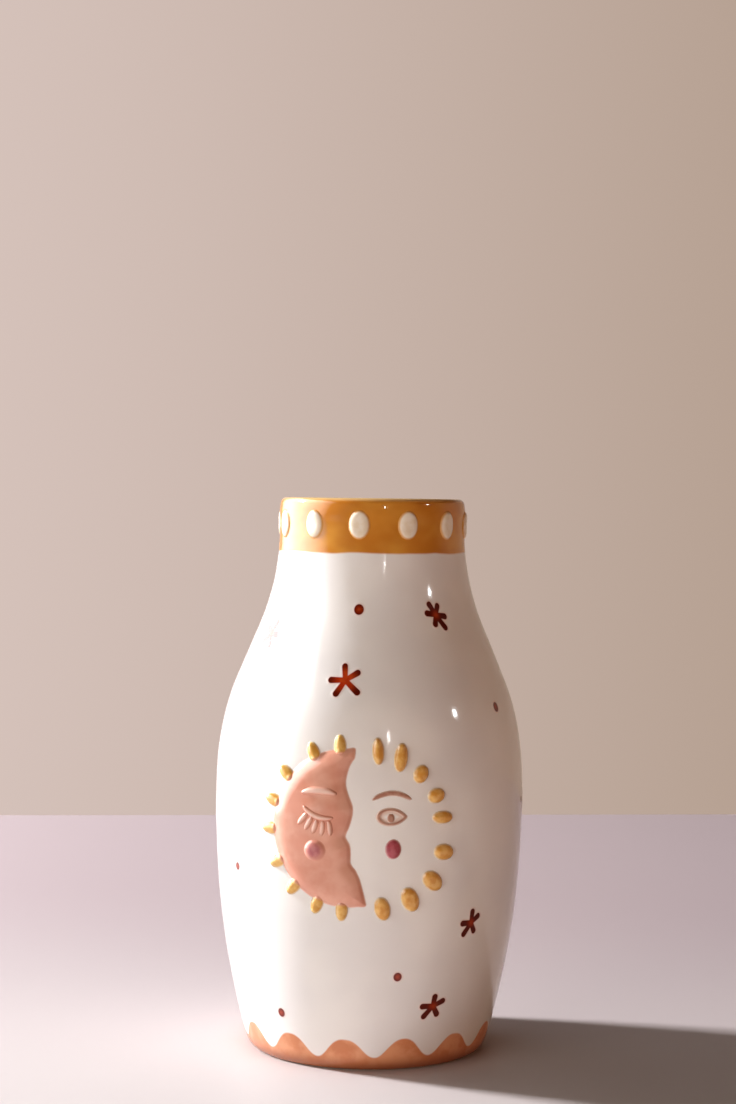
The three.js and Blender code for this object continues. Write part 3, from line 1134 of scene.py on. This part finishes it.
@dataclass
class Sun(Face):
    """The sun half: an open eye, a brow and a cheek on the white wall, with nine rays."""

    ray: Swell = Swell(rise=1.45, edge=1.7)
    stroke: Swell = Swell(rise=0.3, edge=0.4, grow=0.08)
    eye: Swell = Swell(rise=0.3, edge=0.38, sink=0.0, grow=-0.15)
    white: Swell = Swell(rise=0.05, edge=0.2)
    pupil: Swell = Swell(rise=0.45, edge=0.5, grow=0.25)
    cheek: Swell = Swell(rise=0.8, edge=2.0)
    line_spacing: float = 0.15

    def build(self) -> None:
        """Models each sprig of the sun where its node is."""
        ochre, line, rose = OCHRE.material(), LINE.material(), MAGENTA.material()
        ray = (self.ray, ochre, "ochre_glaze", GRID)
        parts = {
            "sun_brow": (self.stroke, line, "line_glaze", self.line_spacing),
            "sun_pupil": (self.pupil, line, "line_glaze", self.line_spacing),
            "sun_cheek": (self.cheek, rose, "magenta_glaze", GRID),
        }
        self.build_eye(line)
        for node in sorted(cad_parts):
            if not node.startswith("sun_") or node == "sun_eye":
                continue
            swell, material, slot, spacing = parts.get(node, ray)
            piece, _ = Sprig(self.wall, self.spot, node, swell, spacing).build()
            thicken(piece)
            settle(piece, material, slot, node)

    def build_eye(self, line: Material) -> None:
        """Models the eye: a ring of line with a thin tinted skin of glaze inside it."""
        loops = self.wall.flatten(self.spot, outline_of("sun_eye"))
        loops.sort(key=lambda loop: float(np.ptp(loop[:, 0])))
        edge = loops[-1:]

        def skin(flat: Array) -> Array:
            """How far inside the whole eye."""
            return depth_inside(flat, edge)

        def ring(flat: Array) -> Array:
            """How far inside the ring of line."""
            return depth_inside(flat, loops) + self.eye.grow

        def lift(flat: Array) -> Array:
            """The skin's height with the ring standing on it."""
            return self.white.lift(skin(flat)) + self.eye.lift(ring(flat))

        name, reach, spacing = "sprig_sun_eye", self.white.skirt, self.line_spacing
        piece, flat = relief(name, self.wall, self.spot, edge, skin, lift, reach, spacing)
        tag(piece, DEPTH, ring(flat))
        thicken(piece)
        settle(piece, line, "line_glaze", "sun_eye")


# ---- painted marks


class MarkKind(Enum):
    """The two marks scattered over the white."""

    STAR = "star"
    DOT = "dot"


@dataclass(frozen=True)
class Mark:
    """One brushed mark: a dot, or a star of strokes from one middle.

    Attributes:
        kind: which mark it is.
        angle: where round the pot, in degrees from the front.
        height: where up the pot, in millimetres.
        arms: each stroke's clock direction in degrees and its length in millimetres.
        size: a dot's width in millimetres.
        load: how thickly it is painted, from 0 to 1.
    """

    kind: MarkKind
    angle: float
    height: float
    arms: tuple[tuple[float, float], ...] = ()
    size: float = 2.3
    load: float = 0.55


def even_star(first: float, length: float) -> tuple[tuple[float, float], ...]:
    """Five strokes for a star out of sight, a little uneven as a brush makes them.

    Args:
        first: the first stroke's clock direction in degrees.
        length: the strokes' mean length in millimetres.

    Returns:
        The strokes' directions and lengths.
    """
    arms = []
    for i in range(5):
        clock = first + 72 * i + 6 * math.sin(2.7 * i + first)
        arms.append((clock, length * (1 + 0.1 * math.sin(3.9 * i + first))))
    return tuple(arms)


STAR, DOT = MarkKind.STAR, MarkKind.DOT
# Each star out of sight: its angle and height, its first stroke's direction, and their length.
BACK_STARS = (
    (-86, 66, 8, 3.6), (88, 73, -14, 3.5), (112, 122, 4, 3.2), (131, 38, 17, 3.6),
    (168, 96, -6, 3.8), (-148, 112, 12, 3.3), (-153, 52, -3, 3.6), (-108, 27, 21, 3.4),
)  # fmt: skip
# Each dot's angle, height and size.
DOTS = (
    (-1.1, 128.8, 2.7), (17.3, 27.9, 2.3), (-32.6, 15.2, 2.3), (64.9, 101.1, 2.5),
    (-50.5, 55.4, 2.0), (82, 24, 2.2), (121, 84, 2.4), (152, 131, 2.3), (164, 22, 2.2),
    (-171, 74, 2.4), (-120, 84, 2.3), (-104, 127, 2.2),
)  # fmt: skip
MARKS = (
    Mark(STAR, -5.0, 109.6, ((-7, 3.7), (59, 3.9), (133, 4.7), (211, 4.3), (269, 4.0)), load=0.1),
    Mark(STAR, 41.4, 127.3, ((-31, 3.4), (25, 2.7), (99, 3.2), (146, 4.3), (197, 2.7), (279, 2.9))),
    Mark(STAR, 47.2, 41.7, ((5, 3.1), (58, 3.0), (152, 2.8), (219, 3.9), (271, 3.1))),
    Mark(STAR, 33.3, 18.7, ((6, 2.7), (68, 3.2), (148, 3.0), (221, 3.8), (272, 3.2))),
    Mark(STAR, -52.3, 121.1, ((20, 3.3), (95, 3.2), (160, 3.4), (230, 3.6), (300, 3.2))),
    *(Mark(STAR, turn, high, even_star(first, length)) for turn, high, first, length in BACK_STARS),
    *(Mark(DOT, turn, high, size=size) for turn, high, size in DOTS),
)


@dataclass
class Brushwork:
    """The iron-red stars and dots, each a thin skin of glaze on the wall."""

    wall: Wall
    stroke: float = 1.7
    swell: Swell = Swell(rise=0.06, edge=0.5, skirt=0.8, sink=0.02)
    grid: float = 0.2
    skin: float = 0.3
    dot_squash: float = 0.92
    waist: float = 0.8

    def build(self) -> None:
        """Paints every mark."""
        paint = IRON_RED.material()
        tally = dict.fromkeys(MarkKind, 0)
        for mark in MARKS:
            tally[mark.kind] += 1
            name = f"painted_{mark.kind.value}_{tally[mark.kind]:02d}"
            self.paint(name, mark, paint)

    def paint(self, name: str, mark: Mark, material: Material) -> None:
        """Models one mark.

        Args:
            name: the piece's name.
            mark: what it is and where.
            material: the paint.
        """
        spot = Spot(math.radians(mark.angle), mark.height)
        arms = [(math.radians(clock), long) for clock, long in mark.arms]
        tips = np.array([(long * math.sin(turn), long * math.cos(turn)) for turn, long in arms])
        lengths = np.linalg.norm(tips, axis=1) if arms else np.array([mark.size])
        wide = self.stroke / 2

        def depth(flat: Array) -> Array:
            """How far inside the edge; a star's strokes fill out towards their ends."""
            if mark.kind is DOT:
                return mark.size / 2 - np.linalg.norm(flat * (1, self.dot_squash), axis=1)
            gap = to_segments(flat, np.zeros_like(tips), tips)
            out = np.clip(np.linalg.norm(flat, axis=1)[:, None] / lengths, 0, 1)
            return (wide * (self.waist + (1 - self.waist) * out) - gap).max(axis=1)

        size = wide + (np.abs(tips).max() if arms else mark.size / 2)
        extent = [np.array([(-size, -size), (size, size)])]

        def lift(flat: Array) -> Array:
            """The paint's thickness off the wall."""
            return self.swell.lift(depth(flat))

        reach = self.swell.skirt
        piece, flat = relief(name, self.wall, spot, extent, depth, lift, reach, self.grid)
        tag(piece, POOL, np.linalg.norm(flat, axis=1) / lengths.mean() + mark.load)
        thicken(piece, self.skin)
        settle(piece, material, "iron_red_paint")


# ---- the studio


class Lights(Enum):
    """What a light shows in."""

    ALL = "all"
    SHADING = "shading"
    GLOSS = "gloss"


@dataclass(frozen=True)
class Pane:
    """A soft rectangular light that faces the pot.

    Attributes:
        name: its name.
        turn: its direction round the pot from the camera, in degrees.
        rise: its direction above level, in degrees.
        away: its distance in metres.
        size: its width and height in metres.
        power: its power in watts.
        warmth: its colour.
        lights: what it shows in.
    """

    name: str
    turn: float
    rise: float
    away: float
    size: tuple[float, float]
    power: float
    warmth: str = "#FFFFFF"
    lights: Lights = Lights.GLOSS


PANES = (
    Pane("Key window", -107, 29, 1.6, (0.165, 0.165), 53, "#FDFCFF", Lights.ALL),
    Pane("Left fill", -44, 9, 1.5, (1.1, 0.7), 10.2, "#FFF8F0", Lights.SHADING),
    Pane("Right fill", 42, 6, 1.5, (1.1, 0.7), 4.2, "#FFB274", Lights.SHADING),
    # Six panes stand one behind another, because those at one distance don't add up in the gloss.
    *(
        Pane(f"Bright pane {i + 1}", -104, 22, 1.5 + 0.02 * i, (wide, 1.6), 8 * wide)
        for i, wide in enumerate((0.9, 1.4, 1.9, 2.4, 2.9, 3.4))
    ),
    Pane("Side pane", 73, 21, 1.5, (0.055, 0.06), 1.2),
    Pane("Near pane", 15, 16, 1.5, (0.02, 0.12), 0.4),
)


@dataclass(frozen=True)
class TablePaint:
    """Flat lilac-grey paint with little sheen, painted lighter near the front as a pool of the key
    light, and darker further back as painted shade.
    """

    near: str = "#D3CDCB"
    far: str = "#B3A3A6"
    light_pool_fade: tuple[float, float] = (-0.2, 0.25)

    def material(self) -> Material:
        """The paint, which takes a soft shadow and no clear reflection."""
        board = Board.named("Table paint, pale lilac")
        depth = board.axes(board.add("TexCoord", None, None, 3))[1]
        # Painted light and shade: the top is lighter towards the front, where the key light falls,
        # and darker towards the back.
        colour = board.blend(board.ramp(depth, *self.light_pool_fade), self.near, self.far)
        return board.surface({"Base Color": colour, "Roughness": 0.55, "IOR": 1.45})


@dataclass
class Studio:
    """A plain pale table, soft light from the left, and the camera."""

    view_turn: float = 5.6
    distance: float = 0.633
    eye_height: float = 0.160
    aside: float = -0.00125
    pitch: float = 1.434
    roll: float = 0.73
    lens: float = 70.34
    light_aim: float = 0.08
    table_back: float = 0.455
    table_front: float = 1.0
    table_half: float = 1.3
    table_thick: float = 0.03
    table_turn: float = 11.0
    table_edge: float = 0.004

    def build(self) -> None:
        """Sets up the table, the lights, the backdrop and the camera."""
        self.table()
        self.backdrop()
        for pane in PANES:
            self.light(pane)
        bpy.context.scene.view_settings.view_transform = "Standard"
        self.camera()

    def light(self, pane: Pane) -> None:
        """Hangs a light and turns it to the pot."""
        data = bpy.data.lights.new(pane.name, "AREA")
        data.shape = "RECTANGLE"
        data.size, data.size_y = pane.size
        data.energy = pane.power
        data.color = linear(pane.warmth)[:3]
        light = bpy.data.objects.new(pane.name, data)
        turn, rise = math.radians(pane.turn + self.view_turn), math.radians(pane.rise)
        level = Vector((math.sin(turn), -math.cos(turn), 0))
        direction = level * math.cos(rise) + Vector((0, 0, math.sin(rise)))
        light.location = direction * pane.away + Vector((0, 0, self.light_aim))
        light.rotation_euler = direction.to_track_quat("Z", "Y").to_euler()
        light.visible_camera = False
        light.visible_glossy = pane.lights is not Lights.SHADING
        light.visible_diffuse = pane.lights is not Lights.GLOSS
        bpy.context.scene.collection.objects.link(light)

    def table(self) -> None:
        """Models the table top: a slab with softened edges."""
        deselect()
        bpy.ops.mesh.primitive_cube_add(size=1, location=(0, 0, 0))
        table = bpy.context.object
        table.name = table.data.name = "table_top"
        depth = self.table_back + self.table_front
        middle = (self.table_back - self.table_front) / 2
        size = Matrix.Diagonal((2 * self.table_half, depth, self.table_thick, 1))
        turned = Matrix.Rotation(math.radians(self.table_turn), 4, "Z")
        table.data.transform(turned @ Matrix.Translation((0, middle, -self.table_thick / 2)) @ size)
        modifier = table.modifiers.new("Eased edge", "BEVEL")
        modifier.width = self.table_edge
        modifier.segments = 3
        apply(table, modifier)
        table.data.materials.append(TablePaint().material())

    def backdrop(self) -> None:
        """Lights the room softly, warmer and dimmer to the right, over a pale far wall."""
        board = Board(bpy.data.worlds.new("Studio"))
        bpy.context.scene.world = board.owner
        x, y, z = board.axes(board.add("TexCoord"))
        ceiling = "#211A15"
        wall = board.blend(board.ramp(x, -0.42, 0.25), "#DAC7C0", "#AE9887")
        room = board.blend(board.ramp(x, -0.6, 0.6), "#595048", "#3E2C1F")
        room = board.blend(board.ramp(z, 0.15, 0.7), room, ceiling)
        wall = board.blend(board.ramp(z, 0.3, 0.5), wall, ceiling)
        light = board.blend(board.ramp(y, -0.1, 0.4), room, wall)
        board.add("OutputWorld", None, {0: board.add("Background", None, {0: light})})

    def camera(self) -> None:
        """Places the camera level with the rim, a little to the right of the face."""
        data = bpy.data.cameras.new("Camera")
        data.lens = self.lens
        data.clip_start = 0.01
        camera = bpy.data.objects.new("Camera", data)
        angles = (self.view_turn, self.pitch, self.roll)
        turn, pitch, roll = (math.radians(angle) for angle in angles)
        level = Vector((-math.sin(turn), math.cos(turn), 0))
        right = Vector((math.cos(turn), math.sin(turn), 0))
        ahead = level * math.cos(pitch) - Vector((0, 0, math.sin(pitch)))
        up = right.cross(ahead)
        tilted_right = right * math.cos(roll) + up * math.sin(roll)
        tilted_up = up * math.cos(roll) - right * math.sin(roll)
        turned = Matrix((tilted_right, tilted_up, -ahead)).transposed().to_4x4()
        place = right * self.aside - level * self.distance + Vector((0, 0, self.eye_height))
        camera.matrix_world = Matrix.Translation(place) @ turned
        bpy.context.scene.collection.objects.link(camera)
        bpy.context.scene.camera = camera


def main() -> None:
    """Builds the pot and its studio."""
    logging.basicConfig(level=logging.INFO, format="%(name)s: %(message)s")
    wall = Wall(BODY)
    body = Body(wall)
    body.dress(body.build())
    Collar(wall).build()
    face = Spot(0.0, middle_of("sun_eye").height - EYE_ABOVE_FACE)
    Moon(wall, face).build()
    Sun(wall, face).build()
    Brushwork(wall).build()
    Studio().build()


if __name__ == "__main__":
    main()
